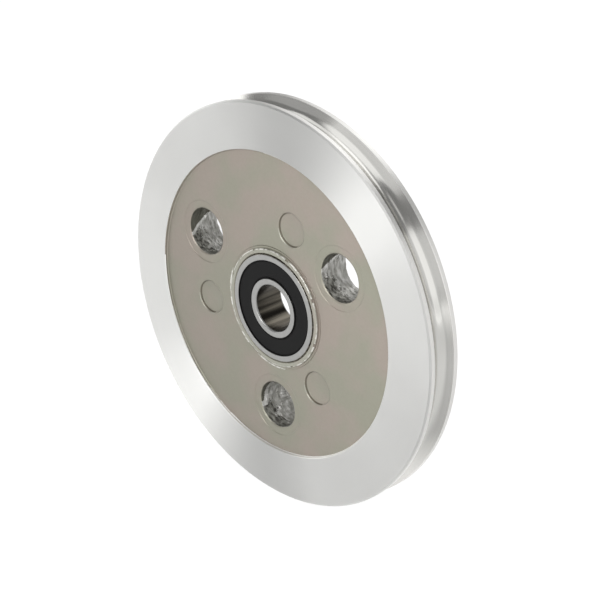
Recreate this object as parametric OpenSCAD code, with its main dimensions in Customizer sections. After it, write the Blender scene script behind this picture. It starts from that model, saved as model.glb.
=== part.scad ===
// V groove wheel: a cast aluminium pulley with a turned rim, running on a sealed ball bearing.
// The axle lies along Y. The front of the wheel, with the ejector marks, faces -Y.
// The origin is on the axle, halfway across the rim.

/* [Rim] */
// Outer diameter of the wheel
wheel_d = 130; // [118:1:180]
// Width across the two rim faces
rim_w = 12; // [11.8:0.1:16]
// Bevel on the rim's outer corners
rim_bevel = 0.5; // [0.2:0.1:1]
// Width of the groove where it opens on the rim
groove_open_w = 8.2; // [7.8:0.1:8.8]
// Angle between the groove's two flanks
groove_angle = 90; // [80:1:110]
// Radius at the bottom of the groove
groove_root_r = 3.7; // [3:0.1:4]
// Rounding where the groove's flanks meet the rim
groove_lip_r = 0.4; // [0.2:0.05:0.6]

/* [Cast web] */
// Diameter inside the turned ring, where the cast web begins
web_d = 99; // [94:0.5:106]
// How far the front of the web lies below the rim face
web_front_drop = 0.9; // [0.7:0.05:1.4]
// How far the rear of the web lies below the rim face
web_rear_drop = 0.4; // [0.3:0.05:1]
// Rounding at the foot of the web's outer wall
web_fillet_r = 0.5; // [0.2:0.05:0.6]
// How far the casting sits off the turned axis, sideways
casting_shift_x = -1.1; // [-1.5:0.1:1.5]
// How far the casting sits off the turned axis, upwards
casting_shift_z = 0.3; // [-1.5:0.1:1.5]

/* [Web holes] */
// Number of round holes through the web
hole_count = 3; // [2:1:3]
// Diameter of each hole where it is narrowest
hole_d = 15; // [12:0.1:16]
// Diameter of the circle on which the holes lie
hole_pitch_d = 68; // [66:0.5:72]
// Direction of the first hole, anticlockwise from the right
hole_angle = 33; // [0:1:119]
// Draft of the hole's wall towards each mouth
hole_draft = 1.5; // [0.5:0.1:3]
// Rounding at the front mouth of each hole
hole_lip_r = 0.45; // [0.3:0.05:1]
// Rounding at the rear mouth of each hole
hole_rear_lip_r = 0.2; // [0.1:0.05:0.6]
// Depth at which the two halves of the mould met inside the holes
parting_depth = 3.7; // [3:0.1:6]
// How far the thin fin at the parting line stands into the hole
fin_h = 0.25; // [0.1:0.05:0.4]
// Width of the shallow sink round each hole
sink_land = 2.8; // [2:0.1:3]
// Depth of the sink below the web
sink_depth = 0.25; // [0.15:0.05:0.5]
// Rounding on the sink's edge
sink_edge_r = 0.15; // [0.05:0.05:0.15]

/* [Ejector marks] */
// Diameter of each ejector mark
mark_d = 10.8; // [8:0.1:12]
// Depth of each ejector mark
mark_depth = 0.5; // [0.2:0.05:0.6]
// Height of the burr round each ejector mark
mark_burr_h = 0.2; // [0.1:0.05:0.3]
// Width of the burr round each ejector mark
mark_burr_w = 0.4; // [0.2:0.05:0.6]
// Diameter of the circle on which the marks lie
mark_pitch_d = 58; // [56:0.5:64]
// Angle from each hole to the ejector mark after it
mark_lead = 40; // [38:1:60]

/* [Bearing collar] */
// Diameter of the raised collar round the bearing
collar_d = 38.4; // [38:0.1:39.5]
// How far the collar's top lies below the rim face
collar_drop = 0.2; // [0.1:0.05:0.4]
// Rounding on the collar's outer edge
collar_edge_r = 0.4; // [0.2:0.05:0.45]
// Number of breaks in the collar's outer edge
notch_count = 8; // [4:1:12]
// Width of each break
notch_w = 1.2; // [0.6:0.1:2]
// How far each break reaches into the collar
notch_reach = 0.5; // [0.3:0.05:1]
// Depth of each break below the collar's top
notch_depth = 0.3; // [0.2:0.05:0.6]
// Direction of the first break, anticlockwise from the right
notch_angle = 26; // [0:1:44]
// Bevel at the mouth of the bearing seat
seat_bevel = 0.3; // [0.1:0.05:0.4]
// Thickness of the shoulder behind the bearing
shoulder_t = 1; // [0.8:0.1:1.6]
// How far the shoulder reaches over the bearing's outer race
shoulder_reach = 2.1; // [1.5:0.1:2.4]

/* [Ball bearing] */
// Bore of the bearing, which takes the axle
bearing_bore_d = 15; // [13:0.5:15.5]
// Outer diameter of the bearing
bearing_d = 35; // [34.5:0.1:35.5]
// Width of the bearing
bearing_w = 11; // [10.4:0.1:11.2]
// Rounding on the outer corners of the races
race_corner_r = 0.6; // [0.3:0.05:0.9]
// Width of each race's flat face, outside the seals
race_face_w = 2; // [1.7:0.05:2.3]
// Diameter of the balls
ball_d = 5.95; // [5:0.05:6.2]
// Number of balls
ball_count = 8; // [6:1:8]
// Running clearance between a ball and each raceway
ball_play = 0.02; // [0.01:0.01:0.05]
// Height of the raceway's shoulders beside the balls, as the depth of the raceway
raceway_depth = 1.25; // [0.8:0.05:1.4]

/* [Ball cage] */
// Thickness of the cage's sheet steel
cage_t = 0.5; // [0.3:0.05:0.6]
// Radial width of the cage's ribbon
cage_band_w = 2.1; // [1.8:0.1:2.4]
// Clearance between a ball and its pocket
pocket_play = 0.1; // [0.05:0.01:0.15]
// Diameter of the rivets
rivet_d = 0.9; // [0.6:0.1:1]
// Diameter of the rivet heads
rivet_head_d = 1.6; // [1.3:0.1:1.8]
// Height of the rivet heads
rivet_head_h = 0.35; // [0.2:0.05:0.5]

/* [Seals] */
// Thickness of the rubber
seal_t = 1; // [0.8:0.05:1.2]
// How far the seals lie below the faces of the races
seal_drop = 0.3; // [0.2:0.05:0.5]
// Depth of the groove in the outer race that holds the seal's bead
seal_bead = 0.35; // [0.2:0.05:0.5]
// Running clearance between the seal's lip and the inner race
seal_play = 0.05; // [0.02:0.01:0.1]
// Thickness of the steel ring in each seal
insert_t = 0.4; // [0.3:0.05:0.5]
// Width of rubber left beyond the steel ring at each edge
insert_margin = 0.8; // [0.5:0.05:1]

/* [Hidden] */

$fn = 96;
eps = 0.5; // how far a cut runs past the surface that it opens

wheel_r = wheel_d / 2;
half_w = rim_w / 2;
bearing_r = bearing_d / 2;
bore_r = bearing_bore_d / 2;
ball_r = ball_d / 2;
hole_r = hole_d / 2;

// Levels along the axle, measured towards the front from the middle of the rim
web_front = half_w - web_front_drop;
web_rear = -half_w + web_rear_drop;
sink_level = web_front - sink_depth;
collar_top = half_w - collar_drop;
bearing_front = half_w;
bearing_rear = bearing_front - bearing_w;
bearing_mid = bearing_front - bearing_w / 2;
collar_rear = bearing_rear - shoulder_t;

// Radii inside the bearing
pitch_r = (bore_r + bearing_r) / 2;
inner_face_r = bore_r + race_face_w;
outer_face_r = bearing_r - race_face_w;
inner_track_r = pitch_r - ball_r - ball_play;
outer_track_r = pitch_r + ball_r + ball_play;
raceway_r = ball_r + 2 * ball_play; // radius across the raceway
inner_shoulder_r = inner_track_r + raceway_depth;
outer_shoulder_r = outer_track_r - raceway_depth;
seal_lip_r = inner_face_r + seal_play;
seal_out_r = outer_face_r + seal_bead;

// Levels of the seals, measured from the middle of the bearing
seal_face = bearing_w / 2 - seal_drop;
seal_back = seal_face - seal_t;

// ---------------------------------------------------------------- helpers

// Turns a shape drawn with its axis along Z, front upwards, so that the axis lies along Y
module on_axle() {
    rotate([90, 0, 0])
        children();
}

// Moves a shape from the middle of the rim to the middle of the bearing
module at_bearing() {
    translate([0, 0, bearing_mid])
        children();
}

// Repeats a shape evenly round the axle, at a given radius
module ring_of(count, radius, first) {
    for (i = [0 : count - 1])
        rotate(first + i * 360 / count)
            translate([radius, 0, 0])
                children();
}

// Moves a shape from the turned axis to the centre of the casting
module at_casting() {
    translate([casting_shift_x, casting_shift_z, 0])
        children();
}

// Flat piece between a sharp corner and the arc that rounds it. The corner's edges leave
// point p in directions a1 and a2, and its material lies between them.
module corner_scrap(p, a1, a2, r) {
    half = (a2 - a1) / 2;
    mid = (a1 + a2) / 2;
    reach = r / tan(half);
    centre = p + r / sin(half) * [cos(mid), sin(mid)];
    difference() {
        polygon([p, p + reach * [cos(a1), sin(a1)], centre, p + reach * [cos(a2), sin(a2)]]);
        translate(centre)
            circle(r);
    }
}

// Profile of a disc of radius r from level z0 up to z1, its upper edge rounded by edge_r
module round_topped_profile(r, z0, z1, edge_r) {
    difference() {
        translate([0, z0])
            square([r, z1 - z0]);
        corner_scrap([r, z1], 180, 270, edge_r);
    }
}

// ---------------------------------------------------------------- wheel

// Section of the V groove, cut into the rim: two flanks and a round bottom
module groove_profile() {
    half_angle = groove_angle / 2;
    half_open = groove_open_w / 2;
    apex = wheel_r - half_open / tan(half_angle);
    root_centre = apex + groove_root_r / sin(half_angle);
    tangent_z = groove_root_r * cos(half_angle);
    tangent_r = root_centre - groove_root_r * sin(half_angle);
    polygon([
        [wheel_r + eps, half_open + eps * tan(half_angle)],
        [tangent_r, tangent_z],
        [tangent_r, -tangent_z],
        [wheel_r + eps, -half_open - eps * tan(half_angle)]
    ]);
    translate([root_centre, 0])
        circle(groove_root_r);
    for (side = [-1, 1])
        scale([1, side])
            corner_scrap([wheel_r, half_open], 90, 270 - half_angle, groove_lip_r);
}

// Half section of the turned blank, with bevelled corners and the groove
module rim_profile() {
    difference() {
        polygon([
            [0, -half_w],
            [wheel_r - rim_bevel, -half_w],
            [wheel_r, -half_w + rim_bevel],
            [wheel_r, half_w - rim_bevel],
            [wheel_r - rim_bevel, half_w],
            [0, half_w]
        ]);
        groove_profile();
    }
}

// Repeats a shape at each web hole
module at_holes() {
    at_casting()
        ring_of(hole_count, hole_pitch_d / 2, hole_angle)
            children();
}

// Repeats a shape at each ejector mark
module at_marks() {
    at_casting()
        ring_of(hole_count, mark_pitch_d / 2, hole_angle + mark_lead)
            children();
}

// Space above the front of the cast web, with a rounded foot to its wall
module front_recess() {
    rotate_extrude()
        difference() {
            translate([0, web_front])
                square([web_d / 2, web_front_drop + eps]);
            corner_scrap([web_d / 2, web_front], 90, 180, web_fillet_r);
        }
}

// Space behind the rear of the cast web
module rear_recess() {
    translate([0, 0, -half_w - eps])
        cylinder(r = web_d / 2, h = web_rear_drop + eps);
}

// Shallow round sink that one hole opens into
module hole_sink() {
    sink_r = hole_r + sink_land;
    rotate_extrude() {
        translate([0, sink_level])
            square([sink_r, sink_depth + eps]);
        corner_scrap([sink_r, web_front], -90, 0, sink_edge_r);
    }
}

// What is cast away on both sides of the web
module web_clearance() {
    at_casting() {
        front_recess();
        rear_recess();
    }
    at_holes()
        hole_sink();
}

// Collar round the bearing. It runs through the web and ends in the shoulder behind the bearing.
module collar() {
    rotate_extrude()
        round_topped_profile(collar_d / 2, collar_rear, collar_top, collar_edge_r);
}

// Breaks in the front edge of the collar
module collar_notches() {
    ring_of(notch_count, collar_d / 2 - notch_reach, notch_angle)
        translate([0, -notch_w / 2, collar_top - notch_depth])
            cube([notch_reach + eps, notch_w, half_w]);
}

// One hole: it narrows from both mouths to the parting line, where a thin fin stands
module web_hole() {
    parting = sink_level - parting_depth;
    front_r = hole_r + (sink_level - parting) * tan(hole_draft);
    rear_r = hole_r + (parting - web_rear) * tan(hole_draft);
    fin_w = fin_h;
    rotate_extrude() {
        polygon([
            [0, web_rear - eps],
            [rear_r, web_rear - eps],
            [rear_r, web_rear],
            [hole_r, parting - fin_w],
            [hole_r - fin_h, parting],
            [hole_r, parting + fin_w],
            [front_r, sink_level],
            [front_r, sink_level + eps],
            [0, sink_level + eps]
        ]);
        corner_scrap([front_r, sink_level], -90 - hole_draft, 0, hole_lip_r);
        corner_scrap([rear_r, web_rear], 0, 90 + hole_draft, hole_rear_lip_r);
    }
}

// Stepped bore that the bearing is pressed into, open at the front
module bearing_seat() {
    translate([0, 0, bearing_rear])
        cylinder(r = bearing_r, h = bearing_w + eps);
    translate([0, 0, collar_top - seat_bevel])
        cylinder(r1 = bearing_r, r2 = bearing_r + seat_bevel + eps, h = seat_bevel + eps);
    translate([0, 0, collar_rear - eps])
        cylinder(r = bearing_r - shoulder_reach, h = shoulder_t + 2 * eps);
}

// Shallow round mark left by an ejector pin
module ejector_mark() {
    translate([0, 0, web_front - mark_depth])
        cylinder(r = mark_d / 2, h = mark_depth + eps);
}

// Thin sloping burr raised round an ejector mark. It starts below the web, which hides its lower half.
module ejector_burr() {
    translate([0, 0, web_front - mark_burr_h])
        cylinder(r1 = mark_d / 2 + 2 * mark_burr_w, r2 = mark_d / 2, h = 2 * mark_burr_h);
}

// The casting: turned rim, cast web with its sinks, holes and marks, and the bearing's collar
module wheel() {
    color("gainsboro")
        on_axle()
            difference() {
                union() {
                    difference() {
                        rotate_extrude()
                            rim_profile();
                        web_clearance();
                    }
                    collar();
                    at_marks()
                        ejector_burr();
                }
                collar_notches();
                at_marks()
                    ejector_mark();
                at_holes()
                    web_hole();
                bearing_seat();
            }
}

// ---------------------------------------------------------------- bearing

// Half section of the space that the seals and balls leave between the races
module bearing_gap_profile() {
    for (side = [-1, 1])
        scale([1, side])
            translate([inner_face_r, seal_back])
                square([outer_face_r - inner_face_r, bearing_w / 2 - seal_back + eps]);
    translate([inner_shoulder_r, -seal_back])
        square([outer_shoulder_r - inner_shoulder_r, 2 * seal_back]);
}

// The raceway: a ring swept by a circle slightly larger than a ball
module raceway(track_r, side) {
    rotate_extrude()
        translate([track_r + side * raceway_r, 0])
            circle(raceway_r);
}

// Outer race, held in the wheel's seat by a press fit
module outer_race() {
    color("silver")
        on_axle()
            at_bearing()
                difference() {
                    rotate_extrude()
                        difference() {
                            translate([pitch_r, -bearing_w / 2])
                                square([bearing_r - pitch_r, bearing_w]);
                            bearing_gap_profile();
                            corner_scrap([bearing_r, bearing_w / 2], 180, 270, race_corner_r);
                            corner_scrap([bearing_r, -bearing_w / 2], 90, 180, race_corner_r);
                            for (side = [-1, 1])
                                scale([1, side])
                                    translate([pitch_r, seal_back])
                                        square([seal_out_r - pitch_r, seal_t]);
                        }
                    raceway(outer_track_r, -1);
                }
}

// Inner race, whose bore takes the axle
module inner_race() {
    color("silver")
        on_axle()
            at_bearing()
                difference() {
                    rotate_extrude()
                        difference() {
                            translate([bore_r, -bearing_w / 2])
                                square([pitch_r - bore_r, bearing_w]);
                            bearing_gap_profile();
                            corner_scrap([bore_r, bearing_w / 2], 270, 360, race_corner_r);
                            corner_scrap([bore_r, -bearing_w / 2], 0, 90, race_corner_r);
                        }
                    raceway(inner_track_r, 1);
                }
}

// One ball, numbered anticlockwise from the right
module ball(i) {
    color("lightsteelblue")
        on_axle()
            at_bearing()
                rotate((i - 1) * 360 / ball_count)
                    translate([pitch_r, 0, 0])
                        sphere(r = ball_r);
}

// One half of the ribbon cage: flats that meet at the middle, and a pocket over each ball
module cage_half() {
    pocket_r = ball_r + pocket_play;
    difference() {
        union() {
            cylinder(r = pitch_r + cage_band_w / 2, h = cage_t);
            ring_of(ball_count, pitch_r, 0)
                sphere(r = pocket_r + cage_t);
        }
        ring_of(ball_count, pitch_r, 0)
            sphere(r = pocket_r);
        ring_of(ball_count, pitch_r, 180 / ball_count)
            cylinder(r = rivet_d / 2, h = 2 * cage_t, center = true);
        cylinder(r = pitch_r - cage_band_w / 2, h = bearing_w, center = true);
        difference() {
            cylinder(r = bearing_r, h = bearing_w, center = true);
            cylinder(r = pitch_r + cage_band_w / 2, h = bearing_w + eps, center = true);
        }
        translate([0, 0, -bearing_w])
            cylinder(r = bearing_r, h = bearing_w);
    }
}

module cage_front() {
    color("darkgray")
        on_axle()
            at_bearing()
                cage_half();
}

module cage_rear() {
    color("darkgray")
        on_axle()
            at_bearing()
                mirror([0, 0, 1])
                    cage_half();
}

// Rivets through the flats of both cage halves, a head at each end
module cage_rivets() {
    color("dimgray")
        on_axle()
            at_bearing()
                ring_of(ball_count, pitch_r, 180 / ball_count) {
                    cylinder(r = rivet_d / 2, h = 2 * cage_t, center = true);
                    for (side = [0, 1])
                        mirror([0, 0, side])
                            translate([0, 0, cage_t])
                                cylinder(r = rivet_head_d / 2, h = rivet_head_h);
                }
}

// Steel ring bonded into the back of the rubber
module insert_ring() {
    translate([0, 0, seal_back])
        difference() {
            cylinder(r = seal_out_r - insert_margin, h = insert_t);
            translate([0, 0, -eps])
                cylinder(r = seal_lip_r + insert_margin, h = insert_t + 2 * eps);
        }
}

// Rubber seal: its bead sits in the outer race and its lip runs round the inner race
module seal() {
    difference() {
        rotate_extrude() {
            translate([seal_lip_r, seal_back])
                square([outer_face_r - seal_lip_r, seal_t]);
            translate([outer_face_r, seal_back])
                square([seal_bead, seal_t]);
        }
        insert_ring();
    }
}

// Places a seal's piece at the front, or mirrored at the rear
module at_seal(rear) {
    on_axle()
        at_bearing()
            mirror([0, 0, rear ? 1 : 0])
                children();
}

module front_seal() {
    color("#292929")
        at_seal(false)
            seal();
}

module rear_seal() {
    color("#292929")
        at_seal(true)
            seal();
}

module front_seal_insert() {
    color("slategray")
        at_seal(false)
            insert_ring();
}

module rear_seal_insert() {
    color("slategray")
        at_seal(true)
            insert_ring();
}

wheel();
outer_race();
inner_race();
for (i = [1 : ball_count])
    ball(i);
cage_front();
cage_rear();
cage_rivets();
front_seal();
rear_seal();
front_seal_insert();
rear_seal_insert();
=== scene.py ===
import math

import bmesh
import bpy
from mathutils import Matrix, Vector, noise


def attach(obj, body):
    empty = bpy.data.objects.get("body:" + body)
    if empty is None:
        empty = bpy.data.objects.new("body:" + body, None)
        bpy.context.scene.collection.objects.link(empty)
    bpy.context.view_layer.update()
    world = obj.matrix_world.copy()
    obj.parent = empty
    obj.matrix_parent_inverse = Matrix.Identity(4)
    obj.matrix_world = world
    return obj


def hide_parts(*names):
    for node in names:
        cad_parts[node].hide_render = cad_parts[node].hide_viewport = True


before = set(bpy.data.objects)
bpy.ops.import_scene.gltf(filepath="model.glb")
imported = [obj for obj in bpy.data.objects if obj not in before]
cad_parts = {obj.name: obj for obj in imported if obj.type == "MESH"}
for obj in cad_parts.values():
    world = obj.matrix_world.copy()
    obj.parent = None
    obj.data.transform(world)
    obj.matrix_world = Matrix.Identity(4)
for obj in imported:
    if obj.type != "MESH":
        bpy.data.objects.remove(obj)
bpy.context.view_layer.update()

MM = 0.001

# Sizes of the wheel in millimetres. A level is measured along the axle from the middle of the
# rim, towards the front. The front faces -Y.
WHEEL_R = 65.0
HALF_W = 6.0
RIM_BEVEL = 0.5
RIM_EDGE_R = 0.15
GROOVE_HALF_OPEN = 4.1
GROOVE_ROOT_R = 3.7
GROOVE_LIP_R = 0.4
WEB_R = 49.5
WEB_FRONT = 5.1
WEB_REAR = -5.6
WEB_FILLET_R = 0.5
STEP_FLARE = 0.2  # how far the step from the rim to the web opens out at its top
CASTING = (-1.1, 0.3)  # how far the casting's centre lies from the axle
SINK_R = 10.3
SINK_LEVEL = 4.85
COLLAR_R = 19.2
COLLAR_TOP = 5.8
COLLAR_EDGE_R = 0.4
SEAT_R = 17.5
SEAT_REAR = -5.0
SEAT_CHAMFER = 0.3
SHOULDER_R = 15.4
HOLE_COUNT = 3  # web holes, and ejector marks between them
HOLE_R = 7.5
HOLE_PITCH_R = 34.0
HOLE_FIRST = 33.0
HOLE_LIP_R = 0.45
HOLE_REAR_LIP_R = 0.2
HOLE_DRAFT = 1.5  # degrees
PARTING = 1.15  # level of the mould's parting line inside the holes
MARK_R = 5.4
MARK_DEPTH = 0.5
BURR_H = 0.07
MARK_PITCH_R = 29.0
MARK_FIRST = 73.0
NOTCH_COUNT = 8
NOTCH_FIRST = 26.0
NOTCH_DEPTH = 0.3
NOTCH_REACH = 0.5
NOTCH_W = 1.2
OVER = 2.0  # how far a cutting body stands out of what it cuts

# The bearing
BEARING_MID = 0.5
BEARING_HALF_W = 5.5
BORE_R = 7.5
BALL_COUNT = 8
BALL_PITCH_R = 12.5
RACEWAY_R = 3.015
INNER_FACE_R = 9.5
INNER_SHOULDER_R = 10.755
INNER_RACEWAY_PITCH_R = 12.52
OUTER_FACE_R = 15.5
OUTER_SHOULDER_R = 14.245
OUTER_RACEWAY_PITCH_R = 12.48
RACE_CORNER_R = 0.6
SEAL_LIP_R = 9.55
SEAL_BEAD_R = 15.85
SEAL_FACE = 5.2  # from the middle of the bearing
SEAL_BACK = 4.2
INSERT_INNER_R = 10.35
INSERT_OUTER_R = 15.05
INSERT_T = 0.4

STEPS = 384  # faces round a full turn of the large surfaces
SMALL_STEPS = 192  # and of the small ones


# ------------------------------------------------------------------ helpers


def colour(code):
    """Linear colour with alpha from an sRGB hex code."""
    channels = [int(code[i : i + 2], 16) / 255 for i in (1, 3, 5)]
    return [c / 12.92 if c <= 0.04045 else ((c + 0.055) / 1.055) ** 2.4 for c in channels] + [1.0]


def connect(tree, node, inputs):
    """Sets a node's inputs, keyed by name or number, to values, sockets or other nodes."""
    for key, value in inputs.items():
        source = value.outputs[0] if isinstance(value, bpy.types.Node) else value
        if isinstance(source, bpy.types.NodeSocket):
            tree.links.new(source, node.inputs[key])
        else:
            node.inputs[key].default_value = source


def add(tree, kind, inputs=(), **settings):
    """Adds a node with its settings, values and links."""
    node = tree.nodes.new(kind)
    for name, value in settings.items():
        setattr(node, name, value)
    connect(tree, node, dict(inputs))
    return node


def place(radius, level, turn, centre=(0.0, 0.0)):
    """Point in metres at a radius and angle about an axis that is parallel to the axle."""
    x = centre[0] + radius * math.cos(turn)
    z = centre[1] + radius * math.sin(turn)
    return Vector((x, -level, z)) * MM


def at_casting(radius, degrees):
    """Centre, in millimetres, of a feature on a circle round the casting's centre."""
    turn = math.radians(degrees)
    return (CASTING[0] + radius * math.cos(turn), CASTING[1] + radius * math.sin(turn))


def rounded(corners, steps=6):
    """Closed outline through corners (radius, level, rounding), with an arc at each rounded one."""
    outline = []
    for i, corner in enumerate(corners):
        p = Vector(corner[:2])
        rounding = corner[2] if len(corner) > 2 else 0
        if not rounding:
            outline.append(tuple(p))
            continue
        to_last = (Vector(corners[i - 1][:2]) - p).normalized()
        to_next = (Vector(corners[(i + 1) % len(corners)][:2]) - p).normalized()
        half = to_last.angle(to_next) / 2
        centre = p + (to_last + to_next).normalized() * rounding / math.sin(half)
        start = p + to_last * rounding / math.tan(half) - centre
        end = p + to_next * rounding / math.tan(half) - centre
        sweep = start.angle(end)
        for k in range(steps + 1):
            share = k / steps
            arm = start * math.sin((1 - share) * sweep) + end * math.sin(share * sweep)
            outline.append(tuple(centre + arm / math.sin(sweep)))
    return outline


def arc(centre, radius, first, last, steps):
    """Points of an arc in the plane of an outline, from one angle to another in degrees."""
    turns = [math.radians(first + (last - first) * k / steps) for k in range(steps + 1)]
    return [(centre[0] + radius * math.cos(t), centre[1] + radius * math.sin(t)) for t in turns]


def new_object(name, mesh_data, *finishes):
    """Object in the scene for a mesh, with its materials."""
    mesh = bpy.data.meshes.new(name)
    mesh_data.to_mesh(mesh)
    mesh_data.free()
    for finish in finishes:
        mesh.materials.append(finish)
    obj = bpy.data.objects.new(name, mesh)
    bpy.context.scene.collection.objects.link(obj)
    return obj


def revolve(name, outline, *finishes, steps=SMALL_STEPS, centre=(0.0, 0.0), push=None, choose=None):
    """Closed mesh made by turning a closed outline of (radius, level) about an axis.

    push gives a change of radius at (turn, level). choose gives the finish, at a turn, of the band
    between corner k of the outline and the next corner. Without it the first finish is on all.
    """
    shell = bmesh.new()
    turns = [2 * math.pi * i / steps for i in range(steps)]
    rings = []
    for radius, level in outline:
        if radius == 0:
            rings.append([shell.verts.new(place(0, level, 0, centre))] * steps)
        else:
            radii = [radius + push(t, level) if push else radius for t in turns]
            spots = [place(r, level, t, centre) for r, t in zip(radii, turns)]
            rings.append([shell.verts.new(spot) for spot in spots])
    for k, (ring, following) in enumerate(zip(rings, rings[1:] + rings[:1])):
        for i in range(steps):
            j = (i + 1) % steps
            corners = list(dict.fromkeys((ring[i], ring[j], following[j], following[i])))
            if len(corners) > 2:
                face = shell.faces.new(corners)
                if choose:
                    face.material_index = finishes.index(choose(k, turns[i]))
    bmesh.ops.recalc_face_normals(shell, faces=shell.faces)
    return new_object(name, shell, *finishes)


def settle(obj):
    """Replaces an object's mesh by what its modifiers make of it, and removes them."""
    graph = bpy.context.evaluated_depsgraph_get()
    result = bpy.data.meshes.new_from_object(obj.evaluated_get(graph), depsgraph=graph)
    obj.modifiers.clear()
    obj.data = result
    return obj


def carve(base, *jobs):
    """Adds closed meshes to a closed mesh and cuts them from it, in order."""
    for operation, tool in jobs:
        change = base.modifiers.new(tool.name, "BOOLEAN")
        change.operation = operation
        change.object = tool
        change.solver = "MANIFOLD"
        change.material_mode = "TRANSFER"
    settle(base)
    for _, tool in jobs:
        bpy.data.objects.remove(tool)
    return base


def shade(obj, crease=32):
    """Smooth shading that keeps flat faces flat and edges over the crease angle sharp."""
    obj.data.shade_smooth()
    obj.data.set_sharp_from_angle(angle=math.radians(crease))
    even = obj.modifiers.new("even shading", "WEIGHTED_NORMAL")
    even.keep_sharp = True
    even.weight = 60
    return settle(obj)


def ring_tree():
    """Geometry Nodes tree that repeats a shape evenly round an axis along Y."""
    tree = bpy.data.node_groups.new("ring of", "GeometryNodeTree")
    face = tree.interface
    face.new_socket("Geometry", in_out="INPUT", socket_type="NodeSocketGeometry")
    for name, kind in (
        ("Count", "NodeSocketInt"),
        ("Radius", "NodeSocketFloat"),
        ("First angle", "NodeSocketFloat"),
        ("Centre", "NodeSocketVector"),
        ("Finish", "NodeSocketMaterial"),
    ):
        face.new_socket(name, in_out="INPUT", socket_type=kind)
    face.new_socket("Geometry", in_out="OUTPUT", socket_type="NodeSocketGeometry")
    given = add(tree, "NodeGroupInput").outputs
    index = add(tree, "GeometryNodeInputIndex")
    step = add(tree, "ShaderNodeMath", {0: math.tau, 1: given["Count"]}, operation="DIVIDE")
    turn = add(
        tree,
        "ShaderNodeMath",
        {0: index, 1: step, 2: given["First angle"]},
        operation="MULTIPLY_ADD",
    )
    cosine = add(tree, "ShaderNodeMath", {0: turn}, operation="COSINE")
    sine = add(tree, "ShaderNodeMath", {0: turn}, operation="SINE")
    spoke = add(tree, "ShaderNodeCombineXYZ", {"X": cosine, "Z": sine})
    spot = add(
        tree,
        "ShaderNodeVectorMath",
        {0: spoke, 1: given["Radius"], 2: given["Centre"]},
        operation="MULTIPLY_ADD",
    )
    back = add(tree, "ShaderNodeMath", {0: turn, 1: -1.0}, operation="MULTIPLY")
    facing = add(tree, "ShaderNodeCombineXYZ", {"Y": back})
    points = add(tree, "GeometryNodePoints", {"Count": given["Count"], "Position": spot})
    copies = add(
        tree,
        "GeometryNodeInstanceOnPoints",
        {"Points": points, "Instance": given["Geometry"], "Rotation": facing},
    )
    real = add(tree, "GeometryNodeRealizeInstances", {0: copies})
    dressed = add(
        tree, "GeometryNodeSetMaterial", {"Geometry": real, "Material": given["Finish"]}
    )
    add(tree, "NodeGroupOutput", {0: dressed})
    return tree


RING = ring_tree()


def ring_of(shape, count, radius, first, centre=(0.0, 0.0)):
    """Repeats a shape, drawn round the origin, evenly round an axis, and leaves plain mesh."""
    values = {
        "Count": count,
        "Radius": radius * MM,
        "First angle": math.radians(first),
        "Centre": (centre[0] * MM, 0.0, centre[1] * MM),
        "Finish": shape.data.materials[0],
    }
    repeat = shape.modifiers.new("ring", "NODES")
    repeat.node_group = RING
    for item in RING.interface.items_tree:
        if item.in_out == "INPUT" and item.name in values:
            repeat[item.identifier] = values[item.name]
    return settle(shape)


# ------------------------------------------------------------------ materials


def new_material(name, **sockets):
    """Material with values on its shader's own sockets. Returns it, its tree and its shader."""
    material = bpy.data.materials.new(name)
    material.use_nodes = True
    shader = material.node_tree.nodes["Principled BSDF"]
    for socket, value in sockets.items():
        shader.inputs[socket.replace("_", " ")].default_value = value
    return material, material.node_tree, shader


def tinted(tree, pattern, span, first, second, shares=(0.0, 1.0)):
    """Colour that goes from one to another while a pattern's strength runs over a span. A colour
    is a hex code or a socket. shares say how much of the second there is at each end."""
    share = add(
        tree,
        "ShaderNodeMapRange",
        {
            "Value": pattern,
            "From Min": span[0],
            "From Max": span[1],
            "To Min": shares[0],
            "To Max": shares[1],
        },
    )
    first, second = (colour(c) if isinstance(c, str) else c for c in (first, second))
    # the node's sockets for colours have no names of their own
    blend = add(tree, "ShaderNodeMix", {0: share, 6: first, 7: second}, data_type="RGBA")
    return blend.outputs[2]


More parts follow.
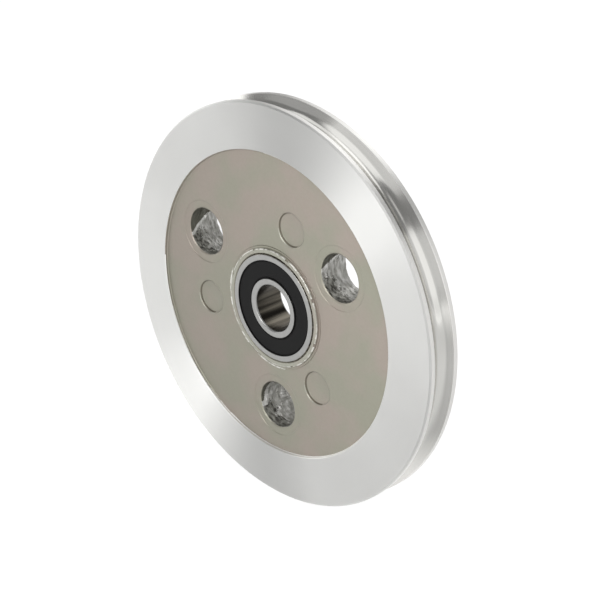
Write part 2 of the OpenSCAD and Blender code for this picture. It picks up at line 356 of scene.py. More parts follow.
def turned_aluminium(name, across, base, roughness, anisotropic, lay_depth):
    """Aluminium turned on a lathe. Fine rings left by the tool spread each reflection across
    themselves, so a lamp shows as two bright fans on a face. across is the direction that crosses
    the rings: "radius" on a face and "axle" on the rim. lay_depth is in millimetres."""
    material, tree, shader = new_material(name, Metallic=1.0, Anisotropic=anisotropic)
    where = add(tree, "ShaderNodeTexCoord").outputs["Object"]
    if across == "radius":
        direction = add(
            tree, "ShaderNodeVectorMath", {0: where, 1: (1, 0, 1)}, operation="MULTIPLY"
        )
        place_on_lay = add(
            tree, "ShaderNodeVectorMath", {0: direction}, operation="LENGTH"
        ).outputs["Value"]
    else:
        direction = add(tree, "ShaderNodeCombineXYZ", {"Y": 1.0})
        place_on_lay = add(tree, "ShaderNodeSeparateXYZ", {0: where}).outputs["Y"]
    lay_width = 0.5 * MM  # the tool's feed is about 0.15 mm a turn, drawn wider so that it shows
    lay = add(
        tree,
        "ShaderNodeTexNoise",
        {"W": place_on_lay, "Scale": 1 / lay_width, "Detail": 4.0},
        noise_dimensions="1D",
    )
    patches = add(
        tree, "ShaderNodeTexNoise", {"Vector": where, "Scale": 1 / (14 * MM), "Detail": 2.0}
    )
    dull = add(
        tree,
        "ShaderNodeMapRange",
        {"Value": lay, "To Min": roughness * 0.8, "To Max": roughness * 1.2},
    )
    wander = add(tree, "ShaderNodeMapRange", {"Value": patches, "To Min": 0.92, "To Max": 1.08})
    uneven = add(tree, "ShaderNodeMath", {0: dull, 1: wander}, operation="MULTIPLY")
    ridges = add(
        tree, "ShaderNodeBump", {"Height": lay, "Distance": lay_depth * MM, "Strength": 1.0}
    )
    world_way = add(
        tree,
        "ShaderNodeVectorTransform",
        {0: direction},
        vector_type="VECTOR",
        convert_from="OBJECT",
        convert_to="WORLD",
    )
    along = add(tree, "ShaderNodeVectorMath", {0: world_way}, operation="NORMALIZE")
    tint = tinted(tree, lay, (0.0, 1.0), *base)
    connect(
        tree,
        shader,
        {"Base Color": tint, "Roughness": uneven, "Normal": ridges, "Tangent": along},
    )
    return material


def as_cast_aluminium(name, greenish, pinkish, dark):
    """Gravity-cast aluminium as it left the mould: warm grey with a dull sheen and faint pink
    and green clouds. Painted shade darkens its left side."""
    material, tree, shader = new_material(name, Metallic=0.6)
    where = add(tree, "ShaderNodeTexCoord").outputs["Object"]
    clouds = add(
        tree, "ShaderNodeTexNoise", {"Vector": where, "Scale": 1 / (16 * MM), "Detail": 3.0}
    )
    skin = add(
        tree, "ShaderNodeTexNoise", {"Vector": where, "Scale": 1 / (0.9 * MM), "Detail": 4.0}
    )
    clouded = tinted(tree, clouds, (0.4, 0.6), greenish, pinkish)
    speckled = tinted(tree, skin, (0.0, 1.0), clouded, dark, shares=(0.0, 0.16))
    # painted shade: the dark colour is blended in towards the left and fades out to the right
    painted_shade_fades_towards, reach, painted_shade_most = (0.985, 0.0, 0.174), 0.05, 0.38
    across = add(
        tree, "ShaderNodeVectorMath", {0: where, 1: painted_shade_fades_towards}, operation="DOT_PRODUCT"
    ).outputs["Value"]
    painted_shade_tint = tinted(tree, across, (-reach, reach), speckled, dark, shares=(painted_shade_most, 0.0))
    dull = add(tree, "ShaderNodeMapRange", {"Value": skin, "To Min": 0.34, "To Max": 0.44})
    pits = add(tree, "ShaderNodeBump", {"Height": skin, "Distance": 0.025 * MM, "Strength": 1.0})
    connect(tree, shader, {"Base Color": painted_shade_tint, "Roughness": dull, "Normal": pits})
    return material


def hole_wall(name, dark, light, size, roughness, crinkle):
    """Cast aluminium inside the cored holes, crinkled where it froze against the core. The folds
    run round the hole. size and crinkle, their width and depth, are in millimetres."""
    material, tree, shader = new_material(name, Metallic=0.85)
    where = add(tree, "ShaderNodeTexCoord").outputs["Object"]
    squashed = add(tree, "ShaderNodeMapping", {"Vector": where, "Scale": (1.0, 2.2, 1.0)})
    blots = add(
        tree, "ShaderNodeTexNoise", {"Vector": squashed, "Scale": 1 / (size * MM), "Detail": 6.0}
    )
    folds = add(
        tree,
        "ShaderNodeTexNoise",
        {"Vector": squashed, "Scale": 1 / (size / 3 * MM), "Detail": 4.0},
    )
    stain = tinted(tree, blots, (0.36, 0.66), dark, light)
    dull = add(
        tree,
        "ShaderNodeMapRange",
        {"Value": folds, "To Min": roughness * 0.75, "To Max": roughness * 1.25},
    )
    relief = add(
        tree, "ShaderNodeBump", {"Height": folds, "Distance": crinkle * MM, "Strength": 1.0}
    )
    connect(tree, shader, {"Base Color": stain, "Roughness": dull, "Normal": relief})
    return material


def bare_edge_and_highlight():
    """Bright bare aluminium: rubbed edges, and a painted highlight on the scored line."""
    material, tree, shader = new_material("rubbed_aluminium_edge_and_highlight", Metallic=1.0)
    where = add(tree, "ShaderNodeTexCoord").outputs["Object"]
    nicks = add(
        tree, "ShaderNodeTexNoise", {"Vector": where, "Scale": 1 / (1.6 * MM), "Detail": 3.0}
    )
    bright = tinted(tree, nicks, (0.42, 0.56), "#A9A79D", "#DCDBD5")
    dull = add(tree, "ShaderNodeMapRange", {"Value": nicks, "To Min": 0.5, "To Max": 0.3})
    connect(tree, shader, {"Base Color": bright, "Roughness": dull})
    return material


def painted_dark_steel():
    """Bearing steel painted dark and brownish with streaks along the axle: painted shade and
    painted reflections in the inner race's bore, and painted shade in the gap by the casting."""
    material, tree, shader = new_material("bore_steel_painted_shade_and_reflection", Metallic=1.0)
    where = add(tree, "ShaderNodeTexCoord").outputs["Object"]
    drawn_out = add(tree, "ShaderNodeMapping", {"Vector": where, "Scale": (1.0, 0.06, 1.0)})
    painted_streaks = add(
        tree, "ShaderNodeTexNoise", {"Vector": drawn_out, "Scale": 1 / (2.2 * MM), "Detail": 4.0}
    )
    stain = tinted(tree, painted_streaks, (0.38, 0.62), "#35322D", "#736E64")
    dull = add(tree, "ShaderNodeMapRange", {"Value": painted_streaks, "To Min": 0.2, "To Max": 0.34})
    connect(tree, shader, {"Base Color": stain, "Roughness": dull})
    return material


def satin_steel(name, light, dark, roughness, streaks=(1.0, 1.0, 1.0)):
    """Steel with a fine even finish. streaks squash its faint marks along each axis."""
    material, tree, shader = new_material(name, Metallic=1.0)
    where = add(tree, "ShaderNodeTexCoord").outputs["Object"]
    squashed = add(tree, "ShaderNodeMapping", {"Vector": where, "Scale": streaks})
    marks = add(
        tree, "ShaderNodeTexNoise", {"Vector": squashed, "Scale": 1 / (1.4 * MM), "Detail": 4.0}
    )
    tint = tinted(tree, marks, (0.0, 1.0), dark, light)
    dull = add(
        tree,
        "ShaderNodeMapRange",
        {"Value": marks, "To Min": roughness * 0.8, "To Max": roughness * 1.2},
    )
    connect(tree, shader, {"Base Color": tint, "Roughness": dull})
    return material


def nitrile_rubber():
    """Moulded black nitrile rubber: a dull skin with a faint bloom."""
    material, tree, shader = new_material("nitrile_rubber", Specular_IOR_Level=0.11)
    where = add(tree, "ShaderNodeTexCoord").outputs["Object"]
    bloom = add(
        tree, "ShaderNodeTexNoise", {"Vector": where, "Scale": 1 / (4 * MM), "Detail": 3.0}
    )
    skin = add(
        tree, "ShaderNodeTexNoise", {"Vector": where, "Scale": 1 / (0.35 * MM), "Detail": 2.0}
    )
    tint = tinted(tree, bloom, (0.0, 1.0), "#121212", "#191919")
    dull = add(tree, "ShaderNodeMapRange", {"Value": bloom, "To Min": 0.5, "To Max": 0.62})
    pores = add(tree, "ShaderNodeBump", {"Height": skin, "Distance": 0.01 * MM, "Strength": 1.0})
    connect(tree, shader, {"Base Color": tint, "Roughness": dull, "Normal": pores})
    return material


# machined aluminium: the rim's faces and bevels, faced on a lathe
TURNED_FACE = turned_aluminium(
    "turned_aluminium_face", "radius", ("#EBEBE9", "#F0F0EE"), 0.64, 0.91, 0.001
)
# machined aluminium: the lands of the rim and the step down to the web, turned on a lathe
TURNED_RIM = turned_aluminium(
    "turned_aluminium_rim", "axle", ("#EDECE9", "#F4F3F0"), 0.42, 0.4, 0.002
)
# polished aluminium: the groove, turned with a form tool and run in
POLISHED_GROOVE = turned_aluminium(
    "polished_aluminium_groove", "axle", ("#D6D5D1", "#E0DFDB"), 0.18, 0.3, 0.006
)
# cast aluminium: the web, cast in a metal mould and left as it came out
CAST = as_cast_aluminium("as_cast_aluminium", "#979688", "#A0968D", "#78746A")
# the same, a little brighter: rubbed on the collar's top, and a painted highlight
# on the lower-left lip of the ejector marks
RUBBED_AND_HIGHLIGHT = as_cast_aluminium("rubbed_cast_aluminium_and_highlight", "#A2A397", "#A19D92", "#8A877C")
# the same, darker: painted shade on the left wall of the ejector marks
PAINTED_SHADE_CAST = as_cast_aluminium("cast_aluminium_painted_shade", "#6C685B", "#686055", "#565248")
# cast aluminium of the hole walls: torn bright as the core was drawn out
TORN = hole_wall("crinkled_hole_wall", "#9C9B95", "#D4D3D0", 2.4, 0.42, 0.08)
# the same, in dark folds: painted shade on the lower-left wall near the mouth
FOLDS_PAINTED_SHADE = hole_wall("hole_wall_folds_painted_shade", "#4C4B46", "#A9A8A1", 1.8, 0.42, 0.08)
# the same, bright and smooth: a painted highlight in a band on the upper-left wall
PAINTED_HIGHLIGHT_WALL = hole_wall("hole_wall_painted_highlight", "#C9C8C4", "#E6E5E2", 3.0, 0.36, 0.02)
# the same, dark: painted shade on the upper wall near the mouth
PAINTED_SHADE_WALL = hole_wall("hole_wall_painted_shade", "#66655A", "#74736A", 3.0, 0.5, 0.01)
BARE_EDGE_AND_HIGHLIGHT = bare_edge_and_highlight()
# bearing steel: the races, hardened and ground
RACE_STEEL = satin_steel("ground_bearing_steel", "#ABABA9", "#989896", 0.34)
# bearing steel painted dark: painted shade and reflections in the bore, painted shade in the gap
DARK_STEEL_PAINTED_SHADE = painted_dark_steel()
# chrome steel: the balls, lapped to a mirror
BALL_STEEL = satin_steel("lapped_chrome_steel", "#C8CACC", "#BEC0C2", 0.06)
# mild steel sheet: the cage, pressed, and its rivets
CAGE_STEEL = satin_steel("pressed_sheet_steel", "#A9A9A7", "#8F8F8C", 0.38, (1.0, 0.3, 1.0))
# zinc-plated steel sheet: the inserts of the seals
INSERT_STEEL = satin_steel("zinc_plated_steel", "#B9BCBD", "#A3A6A8", 0.34)
RUBBER = nitrile_rubber()


# ------------------------------------------------------------------ the wheel


def wheel_blank():
    """Turned blank with its V groove. The finish of a face goes by where it lies."""
    outline = rounded(
        [
            (0, -HALF_W),
            (WHEEL_R - RIM_BEVEL, -HALF_W, RIM_EDGE_R),
            (WHEEL_R, -HALF_W + RIM_BEVEL, RIM_EDGE_R),
            (WHEEL_R, -GROOVE_HALF_OPEN, GROOVE_LIP_R),
            (WHEEL_R - GROOVE_HALF_OPEN, 0, GROOVE_ROOT_R),
            (WHEEL_R, GROOVE_HALF_OPEN, GROOVE_LIP_R),
            (WHEEL_R, HALF_W - RIM_BEVEL, RIM_EDGE_R),
            (WHEEL_R - RIM_BEVEL, HALF_W, RIM_EDGE_R),
            (0, HALF_W),
        ],
        steps=16,
    )

    def finish_of(k, turn):
        from_middle = abs(outline[k][1] + outline[(k + 1) % len(outline)][1]) / 2
        if from_middle > HALF_W - RIM_BEVEL:
            return TURNED_FACE
        return POLISHED_GROOVE if from_middle < GROOVE_HALF_OPEN - 0.1 else TURNED_RIM

    return revolve(
        "wheel_casting",
        outline,
        TURNED_FACE,
        TURNED_RIM,
        POLISHED_GROOVE,
        steps=STEPS,
        choose=finish_of,
    )


def cast_body(name, outline, *more_finishes, centre=CASTING, steps=STEPS, choose=None):
    """Body that is added to the wheel or cut from it, as cast where choose says nothing else."""
    return revolve(
        name, outline, CAST, *more_finishes, steps=steps, centre=centre, choose=choose
    )


def smooth_step(low, high, value):
    """Share from 0 to 1 that eases in and out between two values."""
    share = min(1.0, max(0.0, (value - low) / (high - low)))
    return share * share * (3 - 2 * share)


# For each web hole: how far the flash at the rear mouth stands inwards, where the painted
# shade on the upper wall begins in degrees, and how fast it deepens with the angle.
HOLES = ((0.0, 170.0, 0.185), (1.1, 194.0, 0.165), (3.0, 186.0, 0.03))


def hole_core(number):
    """Core that left one web hole: drafted both ways and crinkled, with flash at the rear."""
    centre = at_casting(HOLE_PITCH_R, HOLE_FIRST + 360 / HOLE_COUNT * number)
    flash, wall_shade_end, wall_shade_slope = HOLES[number]
    seed = Vector((3.7 * number, 11.0, 5.0))
    draft = math.tan(math.radians(HOLE_DRAFT))
    front_r = HOLE_R + (SINK_LEVEL - PARTING) * draft
    rear_r = HOLE_R + (PARTING - WEB_REAR) * draft
    bottom, top = WEB_REAR + HOLE_REAR_LIP_R, SINK_LEVEL - HOLE_LIP_R
    outline = [(0, -HALF_W - OVER), (rear_r + HOLE_REAR_LIP_R + 0.05, -HALF_W - OVER)]
    for t in (math.radians(a) for a in (12, 30, 50, 70, 90)):
        lip = HOLE_REAR_LIP_R
        outline.append((rear_r + lip - lip * math.sin(t), WEB_REAR + lip - lip * math.cos(t)))
    rows = 60
    for k in range(1, rows):
        level = bottom + (top - bottom) * k / rows
        outline.append((HOLE_R + abs(level - PARTING) * draft, level))
    # the front lip, steep in the hole and nearly level where it meets the sink's floor
    for out, down in ((0.0, 0.45), (0.02, 0.33), (0.08, 0.24), (0.3, 0.1), (0.47, 0.01)):
        outline.append((front_r + out, SINK_LEVEL - down))
    outline += [(front_r + 0.5, HALF_W + OVER), (0, HALF_W + OVER)]

    def push(turn, level):
        """Folds all round, up to about 0.4 mm, and flash that leans in from the lower left."""
        if level < WEB_REAR - 0.5 or level > SINK_LEVEL + 0.3:
            return 0.0
        fade = smooth_step(SINK_LEVEL, top - 0.8, level)
        p = Vector((math.cos(turn) * 2.4, level * 0.75, math.sin(turn) * 2.4)) + seed
        folds = noise.fractal(p, 0.8, 2.1, 4, noise_basis="PERLIN_ORIGINAL")
        lean = max(0.0, math.cos(turn - math.radians(214)))
        ragged = 1 + 0.5 * noise.noise(Vector((turn * 5, 2.0, number * 3.0)))
        rear_flash = flash * lean * ragged * min(1.0, max(0.0, (-0.4 - level) / 4.7))
        return -fade * (0.34 * abs(folds) - 0.08 * folds) - rear_flash

    def finish_of(k, turn):
        """From the mouth inwards: the lip, painted shade above a painted highlight on the upper
        left, and below them folds with painted shade and a speckled border in the torn wall."""
        level = (outline[k][1] + outline[(k + 1) % len(outline)][1]) / 2
        depth = SINK_LEVEL - level
        degrees = math.degrees(turn)
        if depth < HOLE_LIP_R * 0.55:
            return CAST
        blot = noise.noise(Vector((turn * 4, level * 0.9, number * 5.0)))
        # depth of the painted shade on the upper wall, growing as the angle falls
        skin = 1.2 + wall_shade_slope * (wall_shade_end - degrees)
        if 40 < degrees < wall_shade_end + 8 and depth < skin + 0.1 * blot:
            return PAINTED_SHADE_WALL
        # a band of painted highlight below the painted shade on the upper left
        if 130 < degrees < 206 and depth < skin + 1.7 + blot:
            return PAINTED_HIGHLIGHT_WALL
        # painted shade on the folds of the lower-left wall near the mouth
        folds_end = 4.6 - 0.018 * abs(degrees - 225) + 2.6 * blot
        speckle = 1.8 * noise.noise(Vector((turn * 19, level * 2.3, number * 7.0)))
        inside = min((degrees - 198) * 0.12, (308 - degrees) * 0.12, folds_end - depth)
        return FOLDS_PAINTED_SHADE if inside + speckle > 0 else TORN

    return revolve(
        f"core_{number}",
        outline,
        TORN,
        PAINTED_SHADE_WALL,
        FOLDS_PAINTED_SHADE,
        CAST,
        PAINTED_HIGHLIGHT_WALL,
        steps=200,
        centre=centre,
        push=push,
        choose=finish_of,
    )


def front_recess():
    """What is open in front of the web: the mould's recess, and the step that was turned."""
    outline = rounded(
        [
            (0, WEB_FRONT),
            (WEB_R, WEB_FRONT, WEB_FILLET_R),
            (WEB_R, HALF_W - STEP_FLARE),
            (WEB_R + STEP_FLARE + OVER, HALF_W + OVER),
            (0, HALF_W + OVER),
        ]
    )

    def finish_of(k, turn):
        """The tool took the cast skin off the step, all but its foot, and less at the left."""
        degrees = math.degrees(turn)
        skin = 0.1
        if degrees > 92:
            skin += 0.85 - 0.85 * smooth_step(215, 250, degrees)
            skin += 0.6 - 0.6 * smooth_step(165, 205, degrees)
        return TURNED_RIM if outline[k][1] > WEB_FRONT + skin * WEB_FILLET_R else CAST

    return cast_body("front_recess", outline, TURNED_RIM, choose=finish_of)


def rear_recess():
    """What is open behind the web."""
    back = -HALF_W - OVER
    return cast_body("rear_recess", [(0, back), (WEB_R, back), (WEB_R, WEB_REAR), (0, WEB_REAR)])


def hole_sinks():
    """Shallow sinks round the web holes, whose edge slopes at 30 degrees."""
    outline = [
        (0, HALF_W + OVER),
        (SINK_R + 0.2, HALF_W + OVER),
        (SINK_R + 0.2, WEB_FRONT),
        (SINK_R - 0.15, WEB_FRONT - 0.2),
        (SINK_R - 0.2, SINK_LEVEL),
        (0, SINK_LEVEL),
    ]
    sink = cast_body("sinks", outline, centre=(0, 0), steps=SMALL_STEPS)
    return ring_of(sink, HOLE_COUNT, HOLE_PITCH_R, HOLE_FIRST, CASTING)


def collar():
    """Collar round the bearing. Its top is rubbed smooth, and its edge to bare metal, broken
    here and there."""
    outline = rounded(
        [
            (0, -HALF_W),
            (COLLAR_R, -HALF_W),
            (COLLAR_R, COLLAR_TOP, COLLAR_EDGE_R),
            (0, COLLAR_TOP),
        ]
    )
    edge_first, top_first = 3, 8  # the bands where the edge and the top begin

    def finish_of(k, turn):
        if k >= top_first:
            return RUBBED_AND_HIGHLIGHT
        bare = noise.noise(Vector((turn * 2.5, 4.0, 1.0))) > -0.62
        return BARE_EDGE_AND_HIGHLIGHT if k >= edge_first and bare else CAST

    return cast_body("collar", outline, BARE_EDGE_AND_HIGHLIGHT, RUBBED_AND_HIGHLIGHT, centre=(0, 0), choose=finish_of)


def scored_line():
    """Line scored into the web round the collar, with a painted highlight in places at the lower
    left.
    """
    inner, deepest, outer = COLLAR_R + 0.6, COLLAR_R + 0.7, COLLAR_R + 1.12
    outline = [
        (inner, WEB_FRONT + 0.3),
        (inner, WEB_FRONT - 0.04),
        (deepest, WEB_FRONT - 0.2),
        (outer, WEB_FRONT + 0.02),
        (outer, WEB_FRONT + 0.3),
    ]

    def finish_of(k, turn):
        # painted highlight: the bright finish only at the lower left
        worn = noise.noise(Vector((turn * 2.5, 7.0, 1.0))) > -0.2
        return BARE_EDGE_AND_HIGHLIGHT if worn and 2.6 < turn < 5.0 else CAST

    return cast_body("scored_line", outline, BARE_EDGE_AND_HIGHLIGHT, centre=(0, 0), choose=finish_of)


def collar_notches():
    """Breaks in the collar's outer edge, made round the axle by the ring tree."""
    notch = bmesh.new()
    bmesh.ops.create_cube(notch, size=1.0)
    length, height = 1.4, 2.0
    floor = COLLAR_TOP - NOTCH_DEPTH
    for v in notch.verts:
        out, level = (v.co.x + 0.5) * length, floor + (v.co.y + 0.5) * height
        v.co = Vector((out, -level, v.co.z * NOTCH_W)) * MM
    bmesh.ops.recalc_face_normals(notch, faces=notch.faces)
    notch = new_object("notches", notch, CAST)
    return ring_of(notch, NOTCH_COUNT, COLLAR_R - NOTCH_REACH, NOTCH_FIRST)


def bearing_seat():
    """Bore that the bearing is pressed into, with its shoulder at the rear."""
    outline = [
        (0, -HALF_W - OVER),
        (SHOULDER_R, -HALF_W - OVER),
        (SHOULDER_R, SEAT_REAR),
        (SEAT_R, SEAT_REAR),
        (SEAT_R, COLLAR_TOP - SEAT_CHAMFER),
        (SEAT_R + SEAT_CHAMFER + OVER, COLLAR_TOP + OVER),
        (0, COLLAR_TOP + OVER),
    ]
    return cast_body("seat", outline, centre=(0, 0), steps=SMALL_STEPS)


def mark_centre(number):
    """Where an ejector mark lies, between two web holes."""
    return at_casting(MARK_PITCH_R, MARK_FIRST + 360 / HOLE_COUNT * number)


def burr(number):
    """Low slope of metal raised round an ejector mark."""
    top = WEB_FRONT + BURR_H
    return cast_body(
        f"burr_{number}",
        [(0, 4.9), (MARK_R + 1.2, 5.0), (MARK_R + 0.3, top), (0, top)],
        centre=mark_centre(number),
        steps=96,
    )


def ejector_mark(number):
    """Ejector pin dent: painted highlight on part of its lower-left edge, painted shade in its
    corner.
    """
    floor = WEB_FRONT - MARK_DEPTH - 0.2
    outline = [
        (0, HALF_W + OVER),
        (MARK_R + 0.34, HALF_W + OVER),
        (MARK_R + 0.34, WEB_FRONT + BURR_H),
        (MARK_R + 0.04, WEB_FRONT - 0.08),
        (MARK_R, WEB_FRONT - 0.12),
        (MARK_R - 0.26, floor + 0.1),
        (MARK_R - 0.32, floor + 0.06),
        (MARK_R - 0.5, floor),
        (0, floor),
    ]
    lip, wall = 2, 4  # bands of the outline

    def finish_of(k, turn):
        degrees = math.degrees(turn)
        # painted shade on the wall of the mark's left half
        corner_shade_end = 290 + 20 * noise.noise(Vector((number * 3.3, 1.0, 0.5)))
        if k == wall and 95 < degrees < corner_shade_end:
            return PAINTED_SHADE_CAST
        # painted highlight on the lip at the lower left, broken in places
        rubbed = noise.noise(Vector((turn * 3, number * 4.0, 2.0))) > -0.15
        return RUBBED_AND_HIGHLIGHT if k == lip and 175 < degrees < 285 and rubbed else CAST

    return cast_body(
        f"mark_{number}",
        outline,
        RUBBED_AND_HIGHLIGHT,
        PAINTED_SHADE_CAST,
        centre=mark_centre(number),
        steps=SMALL_STEPS,
        choose=finish_of,
    )


def wheel_casting():
    """The whole wheel in one piece, built up and cut in the order of the list."""
    wheel = wheel_blank()
    numbers = range(HOLE_COUNT)
    carve(
        wheel,
        ("DIFFERENCE", front_recess()),
        ("DIFFERENCE", rear_recess()),
        ("DIFFERENCE", hole_sinks()),
        ("UNION", collar()),
        ("DIFFERENCE", scored_line()),
        *(("UNION", burr(i)) for i in numbers),
        *(("DIFFERENCE", ejector_mark(i)) for i in numbers),
        ("DIFFERENCE", collar_notches()),
        ("DIFFERENCE", bearing_seat()),
        *(("DIFFERENCE", hole_core(i)) for i in numbers),
    )
    shade(wheel)
    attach(wheel, "wheel_side")
    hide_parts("wheel")
    return wheel


# ------------------------------------------------------------------ the bearing


def bearing_level(outline):
    """Moves an outline from the middle of the bearing to where the bearing lies."""
    return [(r, level + BEARING_MID, *rest) for r, level, *rest in outline]


def bearing_race(name, node, body, corners):
    """Ground ring of the bearing in the place of its CAD node."""
    outline = rounded(bearing_level(corners))

    def finish_of(k, turn):
        """The painted dark finish in the bore, and painted shade in the gap beside the casting."""
        radii = (outline[k][0], outline[(k + 1) % len(outline)][0])
        painted_dark = max(radii) < BORE_R + 0.02 or min(radii) > SEAT_R - 0.4
        return DARK_STEEL_PAINTED_SHADE if painted_dark else RACE_STEEL

    ring = revolve(name, outline, RACE_STEEL, DARK_STEEL_PAINTED_SHADE, choose=finish_of)
    shade(ring)
    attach(ring, body)
    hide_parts(node)
    return ring


def race_corners(face_r, shoulder_r, back_r, bead_r, track_centre, side):
    """Corners of a race's section. side is 1 for the outer race and -1 for the inner one."""
    half = [(back_r, BEARING_HALF_W, RACE_CORNER_R), (face_r, BEARING_HALF_W, 0.1)]
    if bead_r != face_r:
        half += [(face_r, SEAL_FACE), (bead_r, SEAL_FACE), (bead_r, SEAL_BACK)]
    else:
        half += [(face_r, SEAL_BACK)]
    half += [(shoulder_r, SEAL_BACK)]
    reach = math.degrees(math.acos((shoulder_r - track_centre) * side / RACEWAY_R))
    start, stop = (reach, -reach) if side > 0 else (180 - reach, 180 + reach)
    track = arc((track_centre, 0), RACEWAY_R, start, stop, 28)
    other_half = [(r, -level, *rest) for r, level, *rest in reversed(half)]
    return half + track + other_half


def seal(name, node, side):
    """Rubber seal: bead in the outer race, flat face, and a lip that slopes to the inner race. The
    insert lies in its back. side is 1 for the front seal and -1 for the rear one."""
    corners = [
        (SEAL_LIP_R, SEAL_BACK),
        (SEAL_LIP_R, SEAL_FACE - 0.45),
        (SEAL_LIP_R + 0.35, SEAL_FACE - 0.4, 0.1),
        (SEAL_LIP_R + 0.6, SEAL_FACE, 0.15),
        (OUTER_FACE_R - 0.55, SEAL_FACE, 0.12),
        (OUTER_FACE_R - 0.4, SEAL_FACE - 0.25, 0.06),
        (OUTER_FACE_R, SEAL_FACE - 0.25),
        (SEAL_BEAD_R, SEAL_FACE - 0.25, 0.1),
        (SEAL_BEAD_R, SEAL_BACK, 0.1),
        (INSERT_OUTER_R, SEAL_BACK),
        (INSERT_OUTER_R, SEAL_BACK + INSERT_T),
        (INSERT_INNER_R, SEAL_BACK + INSERT_T),
        (INSERT_INNER_R, SEAL_BACK),
    ]
    outline = [(r, BEARING_MID + side * level) for r, level in rounded(corners)]
    ring = revolve(name, outline, RUBBER)
    shade(ring)
    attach(ring, "wheel_side")
    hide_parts(node)
    return ring


def cage_rivets():
    """Rivets with a domed head at each end, halfway between the balls."""
    head_r, head_h, shank_r, half_grip = 0.8, 0.35, 0.45, 0.5
    dome = [
        (head_r * math.cos(math.radians(a)), half_grip + head_h * math.sin(math.radians(a)))
        for a in range(0, 90, 15)
    ]
    half = [(0, half_grip + head_h)] + list(reversed(dome)) + [(shank_r, half_grip)]
    outline = half + [(r, -level) for r, level in reversed(half)]
    rivet = revolve("cage_rivets_domed", bearing_level(outline), CAGE_STEEL, steps=24)
    ring_of(rivet, BALL_COUNT, BALL_PITCH_R, 180 / BALL_COUNT)
    shade(rivet, 50)
    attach(rivet, "cage")
    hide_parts("cage_rivets")
    return rivet


def dress_nodes():
    """Gives the CAD nodes that stay their finishes."""
    for name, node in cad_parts.items():
        finish = None
        if name.startswith("ball_"):
            finish = BALL_STEEL
        elif name in ("cage_front", "cage_rear"):
            finish = CAGE_STEEL
        elif name.endswith("_seal_insert"):
            finish = INSERT_STEEL
        if finish:
            for slot in node.material_slots:
                slot.material = finish


wheel_casting()
bearing_race(
    "outer_race_ground",
    "outer_race",
    "wheel_side",
    race_corners(
        OUTER_FACE_R, OUTER_SHOULDER_R, SEAT_R, SEAL_BEAD_R, OUTER_RACEWAY_PITCH_R, side=1
    ),
)
bearing_race(
    "inner_race_ground",
    "inner_race",
    "axle_side",
    race_corners(
        INNER_FACE_R, INNER_SHOULDER_R, BORE_R, INNER_FACE_R, INNER_RACEWAY_PITCH_R, side=-1
    ),
)
seal("front_seal_rubber", "front_seal", 1)
seal("rear_seal_rubber", "rear_seal", -1)
cage_rivets()
dress_nodes()


# ------------------------------------------------------------------ floor, light and camera

WHITE = colour("#FFFFFF")


def floor_sheen(tree):
    """How bright a metal finds the floor: painted shade dims it near the wheel, and to the right
    of it, most of all in a lane that runs off to the front. Distances are in metres."""
    where = add(tree, "ShaderNodeTexCoord").outputs["Object"]
    away = add(tree, "ShaderNodeVectorMath", {0: where}, operation="LENGTH").outputs["Value"]
    sideways = add(tree, "ShaderNodeSeparateXYZ", {0: where}).outputs["X"]
    across = add(
        tree, "ShaderNodeVectorMath", {0: where, 1: (0.63, 0.78, 0.0)}, operation="DOT_PRODUCT"
    ).outputs["Value"]
    near, right, lane, beyond = (
        add(
            tree,
            "ShaderNodeMapRange",
            {
                "Value": distance,
                "From Min": start,
                "From Max": end,
                "To Min": low,
                "To Max": high,
            },
        )
        for distance, start, end, low, high in (
            (away, 0.07, 0.2, 0.74, 0.93),
            (sideways, 0.05, 0.08, 0.0, 1.0),
            (across, 0.005, 0.02, 0.0, 0.7),
            (across, 0.045, 0.08, 0.0, 0.3),
        )
    )
    in_lane = add(tree, "ShaderNodeMath", {0: lane, 1: beyond}, operation="SUBTRACT")
    at_right = add(tree, "ShaderNodeMath", {0: in_lane, 1: right}, operation="MULTIPLY")
    left_over = add(tree, "ShaderNodeMath", {0: 1.0, 1: at_right}, operation="SUBTRACT")
    return add(tree, "ShaderNodeMath", {0: near, 1: left_over}, operation="MULTIPLY")


def studio_floor():
    """Plain pale board. Seen directly it is white, and it keeps a faint soft shadow."""
    material = bpy.data.materials.new("studio_floor")
    material.use_nodes = True
    tree = material.node_tree
    tree.nodes.clear()
    matte = add(tree, "ShaderNodeBsdfDiffuse", {"Color": colour("#F2F2F2")})
    own = add(tree, "ShaderNodeBsdfDiffuse", {"Color": colour("#8C8C8C")})
    glow = add(tree, "ShaderNodeEmission", {"Color": WHITE, "Strength": 0.86})
    # the floor's glow as metal mirrors it, with painted shade near the wheel
    sheen = add(tree, "ShaderNodeEmission", {"Color": WHITE, "Strength": floor_sheen(tree)})
    seen = add(tree, "ShaderNodeAddShader", {0: own, 1: glow})
    mirrored = add(tree, "ShaderNodeAddShader", {0: own, 1: sheen})
    path = add(tree, "ShaderNodeLightPath").outputs
    indirect = add(
        tree, "ShaderNodeMixShader", {0: path["Is Glossy Ray"], 1: matte, 2: mirrored}
    )
    choice = add(tree, "ShaderNodeMixShader", {0: path["Is Camera Ray"], 1: indirect, 2: seen})
    add(tree, "ShaderNodeOutputMaterial", {0: choice})
    shell = bmesh.new()
    half = 4.0
    level = -WHEEL_R * MM - 0.0003
    corners = [(-half, -half), (half, -half), (half, half), (-half, half)]
    shell.faces.new([shell.verts.new((x, y, level)) for x, y in corners])
    new_object("floor", shell, material)


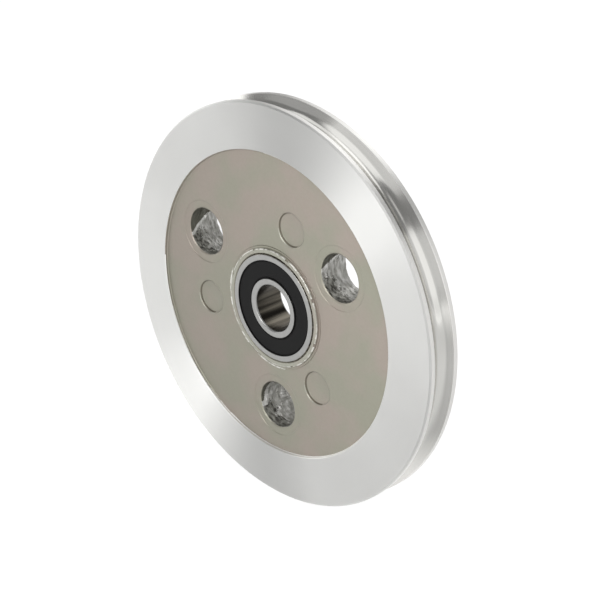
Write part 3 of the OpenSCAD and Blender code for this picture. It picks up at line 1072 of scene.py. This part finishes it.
def studio_world():
    """Dim grey room behind the lamps. Seen directly it is white."""
    world = bpy.data.worlds.new("studio")
    bpy.context.scene.world = world
    world.use_nodes = True
    tree = world.node_tree
    tree.nodes.clear()
    dim = add(tree, "ShaderNodeBackground", {"Color": WHITE, "Strength": 0.23})
    bright = add(tree, "ShaderNodeBackground", {"Color": WHITE, "Strength": 1.0})
    path = add(tree, "ShaderNodeLightPath").outputs
    choice = add(tree, "ShaderNodeMixShader", {0: path["Is Camera Ray"], 1: dim, 2: bright})
    add(tree, "ShaderNodeOutputWorld", {0: choice})


def softbox(name, direction, distance, width, height, brightness, along=(0, 0, 1)):
    """Area lamp that faces the wheel, its height lying along the given direction. Sizes are in
    metres, and brightness is what a mirror would show of it."""
    data = bpy.data.lights.new(name, "AREA")
    data.shape = "RECTANGLE"
    data.size, data.size_y = width, height
    data.energy = brightness * math.pi * width * height
    lamp = bpy.data.objects.new(name, data)
    bpy.context.scene.collection.objects.link(lamp)
    away = Vector(direction).normalized()
    lamp.location = away * distance
    side = Vector(along).cross(away).normalized()
    lamp.rotation_euler = Matrix((side, away.cross(side), away)).transposed().to_euler()
    lamp.visible_camera = False
    return lamp


def around(degrees, back=0.0):
    """Direction about the axle, anticlockwise from the right. back leans it to the rear."""
    return (math.cos(math.radians(degrees)), back, math.sin(math.radians(degrees)))


def studio_camera():
    """Camera on the wheel's front right, above it, level, with a moderate telephoto lens."""
    azimuth, elevation = math.radians(45.85), math.radians(25.5)
    back = Vector(
        (
            math.sin(azimuth) * math.cos(elevation),
            -math.cos(azimuth) * math.cos(elevation),
            math.sin(elevation),
        )
    )
    right = Vector((math.cos(azimuth), math.sin(azimuth), 0.0))
    up = back.cross(right)
    face_centre = Vector((0.0, -HALF_W, 0.0))
    away, to_right, raised = 8.26, 0.130, 0.0407  # in radii of the wheel
    spot = face_centre + WHEEL_R * (away * back + to_right * right + raised * up)
    data = bpy.data.cameras.new("camera")
    data.lens = 105.2
    data.sensor_width = 36.0
    data.clip_start = 0.01
    camera = bpy.data.objects.new("camera", data)
    bpy.context.scene.collection.objects.link(camera)
    camera.location = spot * MM
    camera.rotation_euler = back.to_track_quat("Z", "Y").to_euler()
    bpy.context.scene.camera = camera


AXLE_WAY = (0, 1, 0)

studio_floor()
studio_world()
# Each lamp: its direction from the wheel, then its distance, width, height and brightness.
# The first four are large soft lamps for the whole wheel. The others, which lie along the axle,
# are what the turned ring and the groove mirror, with dark gaps between them.
softbox("key_softbox", (0.008, -1.0, 0.279), 1.4, 0.435, 0.683, 6.7)
softbox("left_card", (-1.0, -0.04, 0.206), 1.0, 1.45, 0.41, 1.35)
softbox("back_card", (-0.26, 0.7, 0.65), 1.1, 1.1, 0.8, 0.75)
softbox("upper_left_card", (-0.62, -0.43, 0.66), 1.0, 0.7, 0.6, 0.2)
softbox("top_strip", around(89.5, -0.35), 1.06, 0.79, 1.7, 0.53, along=AXLE_WAY)
softbox("top_strip_rear", around(95.5, 0.95), 1.38, 0.56, 1.0, 0.53, along=AXLE_WAY)
softbox("right_strip", around(25.5), 1.0, 0.63, 3.2, 0.53, along=AXLE_WAY)
softbox("lower_strip", around(-2), 1.0, 0.35, 3.2, 0.36, along=AXLE_WAY)
softbox("top_softbox", around(91), 0.98, 0.73, 1.0, 0.4, along=AXLE_WAY)
softbox("right_softbox", around(15.5), 0.98, 1.04, 1.0, 0.4, along=AXLE_WAY)
softbox("gap_card", (0.56, 0.3, 0.8), 1.0, 0.25, 0.3, 0.4, along=AXLE_WAY)
# a small lamp for the upper right of the web, which the metal doesn't mirror
fill = softbox("fill_lamp", (0.15, -0.1, 0.15), 0.24, 0.1, 0.1, 12.0)
fill.visible_glossy = False
studio_camera()
bpy.context.scene.view_settings.view_transform = "Standard"
